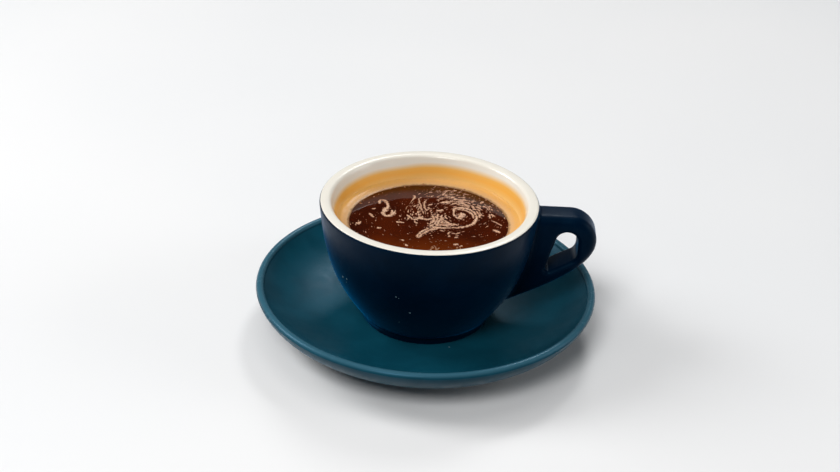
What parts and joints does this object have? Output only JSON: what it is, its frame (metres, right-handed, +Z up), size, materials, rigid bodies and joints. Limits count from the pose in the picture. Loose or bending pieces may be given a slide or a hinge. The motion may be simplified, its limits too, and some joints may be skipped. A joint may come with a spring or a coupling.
{
  "type": "americano",
  "caption": "Black coffee with crema in a thick-walled, two-tone ceramic cup with a pierced ear handle, on its deep matching saucer.",
  "frame": {"origin": "middle of the saucer's underside, on the table", "axes": "+Z up, +X along the cup's handle"},
  "size_m": [0.142, 0.142, 0.0595],
  "materials": {
    "dark_glaze": "satin dark petrol glaze, smooth",
    "cup_glaze": "satin dark navy glaze outside, gloss white glaze over the lip and inside",
    "coffee": "clear dark liquid, glossy, with pale flecks of crema"
  },
  "bodies": {
    "root": {"saucer": "dark_glaze", "cup": "cup_glaze", "coffee": "coffee"}
  },
  "joints": []
}
